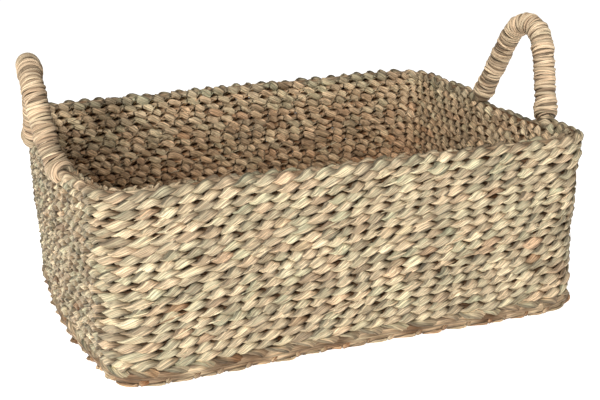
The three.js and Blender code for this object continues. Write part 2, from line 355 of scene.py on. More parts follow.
@dataclass
class Run:
    """One strand as stations along it: places, broad side, size, colour shares and place in the leaf"""
    points: np.ndarray
    broad: np.ndarray
    size: np.ndarray
    mix: np.ndarray
    along: np.ndarray


# Mean and spread of a leaf's shares of green, of tan and of lightness
GREEN_SHARES = (0.28, 0.36)
TAN_SHARES = (0.12, 0.33)
LEAF_LIGHTS = (0.55, 0.2)
# Share of leaves that the sun has bleached
BLEACHED = 0.06
# Least and most brown of a brown leaf, and spread of the others' stain
LEAF_BROWNS = (0.25, 0.75)
STAIN_SPREAD = 0.07


def leaf_colours(random, count, rare_browns, stains_and_shade):
    """Colour shares of each leaf: green, tan, brown and lightness. Leaves of the two faces of the plait
    take turns, and each face has its own share of brown leaves and its own stain. On the walls' inside that
    stain is partly painted shade, and in the cord's under layer it is painted shade."""
    green = np.clip(random.normal(*GREEN_SHARES, count), 0, 1)
    tan = np.clip(random.normal(*TAN_SHARES, count), 0, 1) * (1 - green)
    is_brown = random.random(count) < np.resize(rare_browns, count)
    stain_and_shade = np.clip(np.resize(stains_and_shade, count) + random.normal(0, STAIN_SPREAD, count), 0, 1)
    brown = np.where(is_brown, random.uniform(*LEAF_BROWNS, count), stain_and_shade)
    light = np.clip(random.normal(*LEAF_LIGHTS, count), 0, 1)
    light = np.where(random.random(count) < BLEACHED, 1, light)
    return np.column_stack([green, tan, brown, light])


def ripple(random, count, reach):
    """Smooth random values round a closed run, of about -1 to 1, that change over reach stations"""
    values = random.normal(size=count)
    waves = np.fft.rfftfreq(count)
    smooth = np.fft.irfft(np.fft.rfft(values) * np.exp(-(waves * reach * 2) ** 2), count)
    return smooth / max(np.std(smooth), 1e-9)


def ramp(values, lowest, highest):
    """Smooth step from 0 to 1 between two values"""
    share = np.clip((values - lowest) / (highest - lowest), 0, 1)
    return share * share * (3 - 2 * share)


# How leaves differ from each other: spread of their fullness, their place along the plait's
# thickness, how far out they stand (mean and spread) and their twist in radians
LEAF_FULLNESS = 0.12
LEAF_SHIFT = 0.5 * MM
LEAF_PUSH = (-0.1 * MM, 0.45 * MM)
LEAF_TWIST = 0.24
# How far, in radians, the three strands stray together from their even course, and each by itself
# over a distance along it, and how each strand's size wavers
STRAYING = 0.25
OWN_STRAYING, OWN_STRAYING_REACH = 0.13, 12 * MM
WAVERING, WAVERING_REACH = 0.05, 4 * MM
# Lengths, over two pi, of the two waves by which the straight blades are fresher or browner
FRESH_CLOSE, FRESH_WIDE = 7 * MM, 19 * MM
# Places along X between which the left end gets rougher, and by how much. It is the messiest part
# of the hand work.
ROUGH_FROM, ROUGH_TO = 185 * MM, 205 * MM
ROUGHNESS = 0.45
# Of a leaf on the outer and on the inner face: the share of its length where it starts to dive under its
# neighbour, the share where it has gone under, and how much browner and darker it is painted there, as
# painted shade under the neighbour
DIVE_FROM, DIVE_TO = (0.6, 0.76), (0.84, 0.94)
DIVING_SHADE_BROWNS = (0.3, 0.4)
DIVING_SHADE_DARKNESS = 0.5
# The most that a leaf's lightness can come to, with the painted light that the inside adds
LIGHTEST = 1.5
# How much less a leaf on the inner face swells, and how much fuller a strand is in a handle's core
INNER_LOSS = 0.35
CORE_FULLNESS = 0.3


def leaf_shades(random, turn, leaf, leaves, look):
    """Colour shares at each station of a strand. The end of a leaf that dives under its neighbour is
    painted browner and darker, as painted shade under the neighbour, and on the inside that end is shorter.
    Leaves on the inner face get painted light."""
    mix = leaf_colours(random, leaves, look.rare_browns, look.stains_and_shade)[leaf]
    inner = leaf % 2
    diving_shade = ramp(turn / math.pi % 1, np.take(DIVE_FROM, inner), np.take(DIVE_TO, inner))
    mix[:, 2] = np.clip(mix[:, 2] + np.take(DIVING_SHADE_BROWNS, inner) * diving_shade, 0, 1)
    mix[:, 3] = np.clip(mix[:, 3] + look.inner_painted_light * inner - DIVING_SHADE_DARKNESS * diving_shade, 0, LIGHTEST)
    return mix


def straight_blades(path, across, depth, station, closed, roll, look):
    """Blades that run straight on through the middle of the plait, one bundle flat and one upright. They
    are fresher and browner by turns along the course, and the browner they are, the darker: their brown and
    dark is painted shade in the gaps between the leaves."""
    every, upright_size, tan = 4, 0.9, 0.3
    path, across, depth, roll = (values[::every] for values in (path, across, depth, roll))
    heading = tangents_of(path, closed)
    along = np.arange(len(heading)) * station * every
    fresh = (1 - look.inside_shade) * np.sin(along / FRESH_CLOSE) * np.sin(along / FRESH_WIDE)
    brown = look.inside_shade - 0.7 * fresh
    light = np.clip(0.65 - 0.7 * look.inside_shade + 0.9 * fresh, 0, 1)
    mix = np.column_stack([np.zeros(len(path)), np.full(len(path), tan), brown, light])
    return [
        Run(path, square_to(side, heading), size * (1 - 0.2 * roll), mix, along)
        for side, size in ((across, look.inside), (depth, upright_size))]


def plait(path, across, depth, length, closed, random, look, roll):
    """The three strands of a plait along a path, and the blades in its middle. across is the
    direction of its width, depth that of its thickness. roll, from 0 to 1, draws the flat plait
    together into a round core."""
    sizes, handles = settings().basket_plait, settings().basket_handles
    uneven = sizes.unevenness
    half_thick = sizes.strand_thickness / 2
    reach = sizes.width / 2 - half_thick
    lift = sizes.thickness / 2 - half_thick
    core = handles.core_radius - half_thick * (1 + CORE_FULLNESS)
    periods = max(1, round(length / (3 * sizes.leaf_pitch * look.pitch)))
    leaves = 2 * periods
    leaf_length = length / leaves
    share = np.linspace(0, 1, len(path), endpoint=not closed)
    wander = sum(
        random.normal() * STRAYING * np.cos(2 * math.pi * waves * share + random.uniform(0, 6.3))
        for waves in (2, 3, 5, 8, 11))
    start = random.uniform(0, 2 * math.pi)
    station = length / len(path)
    rough = 1 + ROUGHNESS * ramp(-path[:, 0], ROUGH_FROM, ROUGH_TO)
    turning = tangents_of(path, closed)
    full = 1 + look.corners * np.abs(2 * turning[:, 0] * turning[:, 1])
    runs = []
    for strand in range(3):
        own = ripple(random, len(path), OWN_STRAYING_REACH / station) * OWN_STRAYING * uneven
        turn = 2 * math.pi * (periods * share + strand / 3) + start + uneven * wander + own
        # Leaves with an even number lie on the outer or upper face, and the others on the inner one
        leaf = np.floor(turn / math.pi).astype(int) % leaves
        inner = leaf % 2
        sine, cosine = np.sin(turn), np.cos(turn)
        window = sine ** 2
        swell = random.normal(0, LEAF_FULLNESS * uneven, leaves)[leaf]
        shift = random.normal(0, LEAF_SHIFT * uneven, leaves)[leaf] * rough
        push = random.normal(LEAF_PUSH[0], LEAF_PUSH[1] * uneven, leaves)[leaf] * rough
        twist = random.normal(0, LEAF_TWIST * uneven, leaves)[leaf] * rough
        mix = leaf_shades(random, turn, leaf, leaves, look)
        patch = random.uniform(0, 1, leaves)[leaf]
        # Flattened waves, because the leaves lie along the face of the plait
        flatness = look.flatness + look.inner_flatness * inner
        wave_height = 1 - flatness * 0.93
        out = (reach + push * window) * (sine + flatness * np.sin(3 * turn)) / wave_height
        up = -lift * full * np.sin(2 * turn) + shift * window
        # Rolled round, the strands lie like those of a rope
        out = out + (core * sine - out) * roll
        up = up + (-core * cosine - up) * roll
        points = path + out[:, None] * across + up[:, None] * depth
        # A leaf faces outwards for most of its length, and turns over where it crosses the middle
        face = -math.pi / 2 * (0.38 * cosine + 0.62 * cosine ** 3) + twist * window
        normal = np.cos(face)[:, None] * across + np.sin(face)[:, None] * depth
        radial = sine[:, None] * across - cosine[:, None] * depth
        agree = np.where(np.sum(normal * radial, axis=1) < 0, -1, 1) * (1 - roll)
        normal = agree[:, None] * normal + roll[:, None] * radial
        heading = tangents_of(points, closed)
        broad = square_to(np.cross(heading, normal), heading)
        size = look.crossing + (look.leaf - look.crossing) * window * (1 - INNER_LOSS * inner)
        size = size * (1 + (look.inner_size - 1) * ramp(-sine, 0, 0.4))
        size = size * (1 + swell * window) * (1 + CORE_FULLNESS * roll) * full ** 0.7
        waver = ripple(random, len(path), WAVERING_REACH / station) * WAVERING
        size = size * (1 + waver * uneven * rough)
        along = patch + turn / math.pi % 1 * leaf_length
        runs.append(Run(points, broad, size, mix, along))
    return runs + straight_blades(path, across, depth, station, closed, roll, look)


def strand_section(width, thickness, ridges, depth_share, fullness=0.65):
    """Closed outline of a strand with grass ridges along it. A fullness of 1 is an ellipse, and
    less is a flatter band."""
    angles = -math.pi * np.arange(2 * ridges) / ridges
    ridge = 1 - depth_share * np.resize((1, -1), 2 * ridges)
    across = width / 2 * np.cos(angles)
    up = thickness / 2 * np.sign(np.sin(angles)) * np.abs(np.sin(angles)) ** fullness * ridge
    return np.column_stack([across, up])


def curve_object(name, dimensions):
    """An empty curve on an object of its own"""
    curve = bpy.data.curves.new(name, "CURVE")
    curve.dimensions = dimensions
    holder = bpy.data.objects.new(name, curve)
    bpy.context.scene.collection.objects.link(holder)
    return holder


def add_spline(curve, points, closed):
    """Adds a line of straight steps to a curve"""
    spline = curve.splines.new("POLY")
    spline.points.add(len(points) - 1)
    spline.points.foreach_set("co", np.column_stack([points, np.ones(len(points))]).ravel())
    spline.use_cyclic_u = closed
    return spline


def remove_curve(holder):
    """Removes a curve that has done its work, with its object"""
    data = holder.data
    bpy.data.objects.remove(holder)
    bpy.data.curves.remove(data)


def tilts(run, tangents):
    """Tilt of each station that turns the section's width to the run's broad side"""
    level = unit(np.cross(tangents, (0, 0, 1)))
    upright = np.cross(level, tangents)
    return np.arctan2(-np.sum(run.broad * upright, axis=1), np.sum(run.broad * level, axis=1))


def swept(name, runs, outline, closed):
    """A piece made of runs swept by one section. Each vertex keeps its colour shares and its place
    in the grass: distance along, and place across the section."""
    section = curve_object(name + "_section", "2D")
    add_spline(section.data, [(x, y, 0) for x, y in outline], True)
    holder = curve_object(name + "_path", "3D")
    curve = holder.data
    curve.twist_mode = "Z_UP"
    curve.bevel_mode = "OBJECT"
    curve.bevel_object = section
    for run in runs:
        spline = add_spline(curve, run.points, closed)
        spline.points.foreach_set("tilt", tilts(run, tangents_of(run.points, closed)))
        spline.points.foreach_set("radius", run.size)
    bpy.context.view_layer.update()
    evaluated = holder.evaluated_get(bpy.context.evaluated_depsgraph_get())
    mesh = bpy.data.meshes.new_from_object(evaluated)
    mesh.name = name
    remove_curve(holder)
    remove_curve(section)
    around = len(outline)
    mix = np.vstack([np.repeat(run.mix, around, axis=0) for run in runs])
    sections = np.tile(np.array(outline), (sum(len(run.points) for run in runs), 1))
    size = np.repeat(np.concatenate([run.size for run in runs]), around)
    along = np.repeat(np.concatenate([run.along for run in runs]), around)
    if len(mesh.vertices) != len(along):
        raise RuntimeError(f"{name} has {len(mesh.vertices)} vertices instead of {len(along)}")
    colours = mesh.attributes.new("leaf_mix", "FLOAT_COLOR", "POINT")
    colours.data.foreach_set("color", mix.astype(np.float32).ravel())
    fibre = mesh.attributes.new("fibre", "FLOAT_VECTOR", "POINT")
    places = np.column_stack([along, sections * size[:, None]])
    fibre.data.foreach_set("vector", places.astype(np.float32).ravel())
    if not closed:
        close_ends(mesh)
    piece = bpy.data.objects.new(name, mesh)
    bpy.context.scene.collection.objects.link(piece)
    return piece


def close_ends(mesh):
    """Fills the open ends of swept strands"""
    grown = bmesh.new()
    grown.from_mesh(mesh)
    bmesh.ops.holes_fill(grown, edges=[edge for edge in grown.edges if edge.is_boundary], sides=0)
    bmesh.ops.recalc_face_normals(grown, faces=grown.faces)
    grown.to_mesh(mesh)
    grown.free()


def place(piece, slot, material, *nodes):
    """Puts a piece on the basket, in place of the CAD's plain solids"""
    piece.data.materials.clear()
    piece.data.materials.append(material)
    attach(piece, "root")
    if nodes:
        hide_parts(*nodes)


def seed_of(name):
    """A seed of its own for each piece"""
    return sum(ord(letter) * (index + 1) for index, letter in enumerate(name))


# Distances over which the sewn courses wander in and out, and up and down, and their seeds
SWAY_REACH, SWAY_SEED = 55 * MM, 11
HEAVE_REACH, HEAVE_SEED = 80 * MM, 12
# The courses wander less up and down than in and out, and hardly at all close to the flat base
HEAVE_SHARE = 0.7
HEAVE_FROM_BASE = 30 * MM


def sewn(line, closed):
    """A course's line as sewn: it wanders in and out and up and down with its neighbours, on the
    basket as it has settled"""
    slack = settings().basket_body.slack
    outwards = outwards_of(tangents_of(line, closed))
    # Neighbours above each other differ less than neighbours along a course
    flattened = line * (1, 1, 0.45)
    sway = drift(flattened, SWAY_REACH, SWAY_SEED) * slack
    heave = drift(flattened, HEAVE_REACH, HEAVE_SEED) * slack * HEAVE_SHARE
    heave *= np.clip(line[:, 2] / HEAVE_FROM_BASE, 0, 1)
    return settle(line + sway[:, None] * outwards + heave[:, None] * np.array((0, 0, 1)))


def course(name, line, closed, standing, detail, look):
    """A course of plait along a line. standing turns the plait on its edge. A line that is rolled
    round has a fourth column, the share of it. detail is FINE or PLAIN."""
    sizes = settings().basket_plait
    random = np.random.default_rng(seed_of(name))
    spacing, ridges = detail
    line, length = evenly(line, spacing, closed)
    roll = line[:, 3] if line.shape[1] > 3 else np.zeros(len(line))
    path = sewn(line[:, :3], closed)
    tangents = tangents_of(path, closed)
    across = outwards_of(tangents)
    depth = np.cross(across, tangents)
    if standing:
        across, depth = depth, across
    runs = plait(path, across, depth, length, closed, random, look, roll)
    outline = strand_section(sizes.strand_width, sizes.strand_thickness, ridges, 0.12)
    piece = swept(name, runs, outline, closed)
    if standing:
        press_flat(piece.data)
    return piece


def press_flat(mesh):
    """Presses what would reach under the floor flat against it, as the basket's weight does, and
    spreads the foot of the outermost course outwards"""
    soft, spread, foot = 1.2 * MM, 2 * MM, 12 * MM
    radius = settings().basket_body.corner_radius
    places = np.empty(len(mesh.vertices) * 3, dtype=np.float32)
    mesh.vertices.foreach_get("co", places)
    places = places.reshape(-1, 3).astype(float)
    low, high = (np.array(corner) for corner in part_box(EDGE_COURSE))
    beyond = places[:, :2] - (high + low)[:2] / 2
    beyond = np.sign(beyond) * np.clip(np.abs(beyond) - (high - low)[:2] / 2 + radius, 0, None)
    # 1 at the basket's outline, and less towards its middle
    share = np.linalg.norm(beyond, axis=1) / radius
    low_down = np.clip(1 - places[:, 2] / foot, 0, 1) * ramp(share, 0.6, 0.9)
    outwards = beyond / np.maximum(share, 0.1)[:, None] / radius
    places[:, :2] += outwards * low_down[:, None] * spread
    low_ones = places[:, 2] < soft
    places[low_ones, 2] = soft * np.exp((places[low_ones, 2] - soft) / soft)
    mesh.vertices.foreach_set("co", places.astype(np.float32).ravel())


# Materials

# Width of a split blade in the plait and in the cord
PLAIT_BLADE, CORD_BLADE = 1.4 * MM, 0.9 * MM
# Places of a Mix node's sockets when it mixes colours
MIX_SHARE, MIX_FIRST, MIX_SECOND, MIX_RESULT = 0, 6, 7, 2


def add_node(tree, kind, inputs=None, **options):
    """A node with its options and inputs. An input is a value or another node's output."""
    node = tree.nodes.new(kind)
    for name, value in options.items():
        setattr(node, name, value)
    for name, value in (inputs or {}).items():
        if isinstance(value, bpy.types.NodeSocket):
            tree.links.new(value, node.inputs[name])
        else:
            node.inputs[name].default_value = value
    return node


def marks(length, width):
    """Scale of a pattern whose marks are drawn out along the grass"""
    return 1 / length, 1 / width, 1 / width


def seagrass(name, base, green, tan, brown, blade_width, strand_width):
    """Dry seagrass, split, plaited by hand and left bare: matt, with long fibres, and each leaf of
    the plait its own straw, grey-green or tan"""
    material = bpy.data.materials.get(name)
    if material:
        return material
    material = bpy.data.materials.new(name)
    material.use_nodes = True
    tree = material.node_tree
    tree.nodes.clear()
    shares = add_node(tree, "ShaderNodeAttribute", attribute_name="leaf_mix").outputs
    leaf = add_node(tree, "ShaderNodeSeparateColor", {"Color": shares["Color"]}).outputs
    in_grass = add_node(tree, "ShaderNodeAttribute", attribute_name="fibre").outputs["Vector"]
    # Fibres, which are finer on the real grass and are drawn 0.4 mm wide so that they show, and
    # blotches where a blade dried unevenly
    noises = []
    for scale, roughness in ((marks(20 * MM, 0.4 * MM), 0.6), (marks(8 * MM, 3 * MM), 0.5)):
        placed = add_node(tree, "ShaderNodeMapping", {"Vector": in_grass, "Scale": scale})
        noise = add_node(tree, "ShaderNodeTexNoise", {
            "Vector": placed.outputs["Vector"], "Scale": 1, "Detail": 2, "Roughness": roughness})
        noises.append(noise.outputs["Fac"])
    fibres, blotches = noises
    # A strand is a bundle of split blades, each with its own tone, and between two is a split darkened with
    # painted shade
    placed = add_node(tree, "ShaderNodeMapping", {"Vector": in_grass, "Scale": marks(26 * MM, blade_width)})
    cells = {"Vector": placed.outputs["Vector"], "Scale": 1}
    blades = add_node(tree, "ShaderNodeTexVoronoi", cells)
    tones = add_node(tree, "ShaderNodeSeparateColor", {"Color": blades.outputs["Color"]}).outputs
    edges = add_node(tree, "ShaderNodeTexVoronoi", cells, feature="DISTANCE_TO_EDGE")
    split = edges.outputs["Distance"]
    # The two edges of a strand, where they curl under its neighbours, are darkened with painted shade
    across = add_node(tree, "ShaderNodeSeparateXYZ", {"Vector": in_grass}).outputs["Y"]
    off_middle = add_node(tree, "ShaderNodeMath", {0: across}, operation="ABSOLUTE").outputs["Value"]
    # What a pattern does, with two of its values and what they come to
    ranges = {
        "greener": (tones["Red"], 0.5, 1, 0, 0.55),
        "tanner": (tones["Green"], 0.6, 1, 0, 0.5),
        "blotched": (blotches, 0.5, 0.75, 0, 0.45),
        "leaf_light": (shares["Alpha"], 0, LIGHTEST, 0.58, 1.66),
        "blade_light": (tones["Blue"], 0, 1, 0.74, 1.2),
        "fibre_light": (fibres, 0.32, 0.68, 0.62, 1.3),
        "split_painted_shade": (split, 0, 0.11, 0.5, 1),
        "edge_painted_shade": (off_middle, 0.38 * strand_width, 0.53 * strand_width, 1.04, 0.38),
        "blade_height": (split, 0, 0.3, 0, 1),
    }
    ranged = {}
    for meaning, (pattern, *limits) in ranges.items():
        ends = dict(zip(("From Min", "From Max", "To Min", "To Max"), limits))
        node = add_node(tree, "ShaderNodeMapRange", {"Value": pattern, **ends})
        ranged[meaning] = node.outputs["Result"]
    colour = (*linear(base), 1)
    for share, other in (
            (leaf["Red"], green), (ranged["greener"], green), (leaf["Green"], tan),
            (ranged["tanner"], tan), (leaf["Blue"], brown), (ranged["blotched"], tan)):
        mixed = add_node(tree, "ShaderNodeMix", data_type="RGBA", inputs={
            MIX_SHARE: share, MIX_FIRST: colour, MIX_SECOND: (*linear(other), 1)})
        colour = mixed.outputs[MIX_RESULT]
    light = ranged["leaf_light"]
    for meaning in ("blade_light", "fibre_light", "split_painted_shade", "edge_painted_shade"):
        product = add_node(tree, "ShaderNodeMath", {0: light, 1: ranged[meaning]}, operation="MULTIPLY")
        light = product.outputs["Value"]
    shaded = add_node(tree, "ShaderNodeVectorMath", {0: colour, "Scale": light}, operation="SCALE")
    relief = add_node(tree, "ShaderNodeMath", {0: fibres, 1: ranged["blade_height"]}, operation="ADD")
    bump = add_node(tree, "ShaderNodeBump", {
        "Height": relief.outputs["Value"], "Strength": 0.8, "Distance": 0.4 * MM})
    # Dry grass has little gloss
    shader = add_node(tree, "ShaderNodeBsdfPrincipled", {
        "Base Color": shaded.outputs["Vector"], "Normal": bump.outputs["Normal"],
        "Roughness": 0.62, "IOR": 1.45, "Specular IOR Level": 0.3})
    add_node(tree, "ShaderNodeOutputMaterial", {"Surface": shader.outputs["BSDF"]})
    return material


def plait_material():
    """Split blades of the plait, as most of the basket is"""
    colours, width = settings().basket_colours, settings().basket_plait.strand_width
    return seagrass(
        "seagrass_plait", colours.straw, colours.green, colours.tan, colours.brown, PLAIT_BLADE, width)


def cord_material():
    """Thin split grass wound tight by hand: paler, tanner and more even than the plait"""
    colours, width = settings().basket_colours, settings().basket_handles.cord_width
    return seagrass(
        "seagrass_binding_cord", colours.cord, colours.straw, colours.tan, colours.brown, CORD_BLADE,
        width)


# Lines of the courses

def wall_line(node, height=None):
    """The middle line of a flat course, in the basket's frame"""
    low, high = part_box(node)
    inset = settings().basket_plait.width / 2
    bow_share = 1 - 2 * inset / (high.y - low.y)
    centre_x, half_length, half_width, bow = plan_of(node, inset, bow_share)
    height = (low.z + high.z) / 2 if height is None else height
    line = plan_line(half_length, half_width, settings().basket_body.corner_radius - inset, bow, height)
    return line + (centre_x, 0, 0)


def standing_line(node):
    """The middle line of a course that stands on edge in the base. The courses are drawn in evenly
    from the outermost one."""
    low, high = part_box(node)
    inset = settings().basket_plait.thickness / 2
    outer_low, outer_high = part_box(EDGE_COURSE)
    share = (high.y - low.y) / (outer_high.y - outer_low.y)
    centre_x, half_length, half_width, bow = plan_of(node, inset, share)
    sharpest = inset * 0.7
    radius = max((settings().basket_body.corner_radius - inset) * share, sharpest)
    line = plan_line(half_length, half_width, radius, bow, (low.z + high.z) / 2)
    return line + (centre_x, 0, 0)


# One half of a handle's arch, from the wall to the top: share of the half spread and of the rise
ARCH_SHARES = (
    (1.4, 0), (1.25, 0), (1.12, 0.015), (1.03, 0.065), (0.97, 0.15), (0.88, 0.28), (0.765, 0.44),
    (0.65, 0.61), (0.53, 0.77), (0.4, 0.89), (0.21, 0.972), (0, 1),
)


def smooth_line(knots, steps):
    """A smooth line through knots, by cubic pieces with centred slopes"""
    gaps = np.linalg.norm(np.diff(knots, axis=0), axis=1)
    times = np.concatenate([[0], np.cumsum(gaps)])
    slopes = np.gradient(knots, times, axis=0)
    line = []
    for i, gap in enumerate(gaps):
        t = np.linspace(0, 1, steps, endpoint=False)[:, None]
        line.append(
            (2 * t ** 3 - 3 * t ** 2 + 1) * knots[i] + (t ** 3 - 2 * t ** 2 + t) * gap * slopes[i]
            + (3 * t ** 2 - 2 * t ** 3) * knots[i + 1] + (t ** 3 - t ** 2) * gap * slopes[i + 1])
    return np.vstack([*line, knots[-1:]])


def rim_height():
    """Height of the top course's middle line"""
    return WALL_HIGH.z + COURSE_PITCH - settings().basket_plait.thickness / 2


# Millimetres by which each handle leans out of its even arch along X, at even shares of its length
# from its first foot to its second
HANDLE_LEANS = {
    1: (0, 1.2, 2.0, 2.4, 1.6, 0.6, 0, 0, 0, 0, 0),
    -1: (-3.5, -4.5, -1.5, 2.4, 4.6, 1.6, -3.0, -4.4, -4.0, -2.2, 0),
}
# Share of the way from the wall to the cord at which the plait is round
ROUND_FROM = 0.6


def fade(shares):
    """Sets in over the first twelfth of a handle's line, where its foot stays on the wall"""
    return np.sin(math.pi * np.clip(shares * 6, 0, 0.5))


def handle_line(end):
    """A handle's centre line, in the order of the plan, with its ends on the wall. end is 1 for
    the right handle and -1 for the left one."""
    handles = settings().basket_handles
    centre = handles.right_centre if end > 0 else handles.left_centre
    apex_shift = handles.apex_shift if end > 0 else 0
    rise = handles.rise if end > 0 else handles.rise - handles.left_drop
    rim = wall_line(WALL_COURSES[-1], rim_height())
    side = rim[rim[:, 0] * end > 0]
    side = side[np.argsort(side[:, 1])]
    knots = []
    for aside, up in [(-aside, up) for aside, up in ARCH_SHARES] + list(ARCH_SHARES[-2::-1]):
        y = centre + end * aside * handles.half_spread + apex_shift * up
        x = np.interp(y, side[:, 1], side[:, 0]) + end * handles.lean * rise * up
        knots.append((x, y, rim[0, 2] + rise * up))
    line = smooth_line(np.array(knots), steps=12)
    shares = np.linspace(0, 1, len(line))
    leans = HANDLE_LEANS[end]
    lean = np.interp(shares, np.linspace(0, 1, len(leans)), leans)
    line[:, 0] += lean * fade(shares) * fade(1 - shares) * MM
    return line


def distance_along(line):
    """Distance of each point from the line's start"""
    steps = np.linalg.norm(np.diff(line, axis=0), axis=1)
    return np.concatenate([[0], np.cumsum(steps)])


def rim_path():
    """The top course's line all round, through both handles, with the share by which it is rolled"""
    path = wall_line(WALL_COURSES[-1], rim_height())
    path = np.column_stack([path, np.zeros(len(path))])
    for end in (1, -1):
        handle = handle_line(end)
        along = distance_along(handle)
        first, last = binding_starts(end)
        way_to_cord = np.minimum(along / first, (along[-1] - along) / last)
        rolled = ramp(way_to_cord, 0, ROUND_FROM)
        place_along = path[:, 1] * end
        on_end = path[:, 0] * end > 0
        before = np.flatnonzero(on_end & (place_along < handle[0, 1] * end))[-1]
        after = np.flatnonzero(on_end & (place_along > handle[-1, 1] * end))[0]
        path = np.vstack([path[:before + 1], np.column_stack([handle, rolled]), path[after:]])
    return path


# Handle bindings

# The left handle's cord starts closer to the wall: shares at its back and front foot
LEFT_START_SHARES = (0.68, 0.3)
# Painted light on each handle's cord: how much lighter the right one and darker the left one are made than
# the usual one
CORD_PAINTED_LIGHT = {1: 0.14, -1: -0.06}
# Stain of the cord, its least lightness, and how much more that can be
CORD_STAINS, CORD_LIGHTS = (0.04, 0.12), (0.35, 0.5)
# The under layer's stain and lightness are painted shade: it is made dark and brown as the shade between
# the outer turns
UNDER_SHADE_BROWNS, UNDER_SHADE_LIGHTS = (0.3, 0.4), (0, 0.1)
# Gap between the core and the cord, and length of grass after which the cord's pattern starts again
CORD_CLEARANCE = 0.25 * MM
PATTERN_LENGTH = 0.8
# Turns that the under layer has less than the outer one, how much deeper it lies, and how much wider
# and more evenly its cord is wound
UNDER_FEWER_TURNS = 8
UNDER_DEPTH = 0.9 * MM
UNDER_WIDTH = 1.35
UNDER_UNEVENNESS = 0.3
# Spread of the cord's pitch, of its slant to each side and of its distance from the core
PITCH_SPREAD = 0.2
SLANT_SPREAD = 1.05 * MM
LAY_SPREAD = 0.38 * MM
# The binding is thicker close to its ends, where the core's strands leave the wall, and drawn in at
# the ends themselves: by how much, where, and over what distance
SWELL, SWELL_AT, SWELL_REACH = 0.9 * MM, 9 * MM, 6 * MM
DRAWN_IN, DRAWN_IN_REACH = 4.4 * MM, 2.8 * MM
# The cord's own ends go down under the neighbouring turns and get narrower: over what share of a
# turn, how deep, and to what share of the width
TUCK_TURN = 0.35
TUCK_DEPTH = 1.3 * MM
TUCK_WIDTH = 0.4


def binding_starts(end):
    """Distances of the binding's two ends from the ends of a handle's line"""
    start = settings().basket_handles.bound_from
    return (start, start) if end > 0 else tuple(start * share for share in LEFT_START_SHARES)


def wound_cord(random, length, end, under):
    """One layer of cord wound round an upright axis, from the foot of a handle to its other foot, as
    stations of one unbroken run. The under layer is even and close; the outer one slants and crosses."""
    handles = settings().basket_handles
    first, last = binding_starts(end)
    turns = handles.turns - UNDER_FEWER_TURNS if under else handles.turns
    uneven = UNDER_UNEVENNESS if under else 1
    stations_a_turn = 30
    gaps = np.clip(random.normal(1, PITCH_SPREAD * uneven, turns), 0.6, 1.4)
    heights = np.concatenate([[0], np.cumsum(gaps)]) / gaps.sum() * (length - first - last) + first
    turn = np.linspace(0, turns, turns * stations_a_turn + 1)
    index = np.minimum(turn.astype(int), turns - 1)
    angle = 2 * math.pi * turn
    each = np.arange(turns + 1)
    slants = random.normal(0, SLANT_SPREAD * uneven, (2, turns + 1))
    height = np.interp(turn, each, heights)
    height = height + np.interp(turn, each, slants[0]) * np.cos(angle)
    height = height + np.interp(turn, each, slants[1]) * np.sin(angle)
    lay = np.interp(turn, each, random.normal(0, LAY_SPREAD * uneven, turns + 1))
    radius = handles.core_radius + CORD_CLEARANCE + handles.cord_thickness / 2 + lay
    radius = radius - (UNDER_DEPTH if under else 0)
    foot = np.minimum(height - first, length - last - height)
    radius = radius + SWELL * np.exp(-((foot - SWELL_AT) / SWELL_REACH) ** 2)
    radius = radius - DRAWN_IN * np.exp(-(foot / DRAWN_IN_REACH) ** 2)
    tucked = np.clip(np.minimum(turn, turns - turn) / TUCK_TURN, 0, 1)
    radius = radius - (1 - tucked) * TUCK_DEPTH
    points = np.column_stack([radius * np.cos(angle), radius * np.sin(angle), height])
    outwards = np.column_stack([np.cos(angle), np.sin(angle), np.zeros(len(angle))])
    tangents = open_tangents(points)
    broad = square_to(np.cross(tangents, outwards), tangents)
    # The cord is flatter and wider where its turns lie further apart
    wide = np.interp(turn, each[:-1] + 0.5, np.clip(gaps * random.normal(1, 0.1, turns), 0.7, 1.3))
    wide = wide * (UNDER_WIDTH if under else 1)
    wide = wide * (TUCK_WIDTH + (1 - TUCK_WIDTH) * tucked)
    mix = leaf_colours(random, turns, (0, 0), UNDER_SHADE_BROWNS if under else CORD_STAINS)
    least, span = UNDER_SHADE_LIGHTS if under else CORD_LIGHTS
    mix[:, 3] = least + (0 if under else CORD_PAINTED_LIGHT[end]) + span * mix[:, 3]
    along = distance_along(points) % PATTERN_LENGTH
    return Run(points, broad, wide, mix[index], along)


def bend_along(piece, line):
    """Bends an upright piece along a line with a curve modifier, and keeps the bent mesh"""
    holder = curve_object(piece.name + "_guide", "3D")
    holder.data.twist_mode = "MINIMUM"
    add_spline(holder.data, line, False)
    bend = piece.modifiers.new("along_handle", "CURVE")
    bend.object = holder
    bend.deform_axis = "POS_Z"
    bpy.context.view_layer.update()
    evaluated = piece.evaluated_get(bpy.context.evaluated_depsgraph_get())
    mesh = bpy.data.meshes.new_from_object(evaluated)
    straight = piece.data
    piece.modifiers.remove(bend)
    piece.data = mesh
    bpy.data.meshes.remove(straight)
    mesh.name = piece.name
    remove_curve(holder)


def bind_handle(name, end):
    """A handle's binding: two layers of one long cord wound over the rolled plait"""
    handles = settings().basket_handles
    random = np.random.default_rng(seed_of(name))
    spacing, ridges = 2 * MM, 5
    line = sewn(evenly(handle_line(end), spacing, False)[0], False)
    length = distance_along(line)[-1]
    layers = [wound_cord(random, length, end, under) for under in (True, False)]
    outline = strand_section(handles.cord_width, handles.cord_thickness, ridges, 0.05, 1.1)
    piece = swept(name + "_cord", layers, outline, False)
    bend_along(piece, line)
    place(piece, "binding_cord", cord_material(), name)


# Loose fibres

# Share of the loose fibres that lie on the walls' outer face, and share that stand off at one end
ON_OUTER_FACE = 0.7
STANDING_OFF = 0.25
# Leaf ends that stand up off the rim, which is frayed to the left of and in front of this place
CUT_ENDS = 22
FRAYED_FROM = (-125 * MM, -75 * MM)


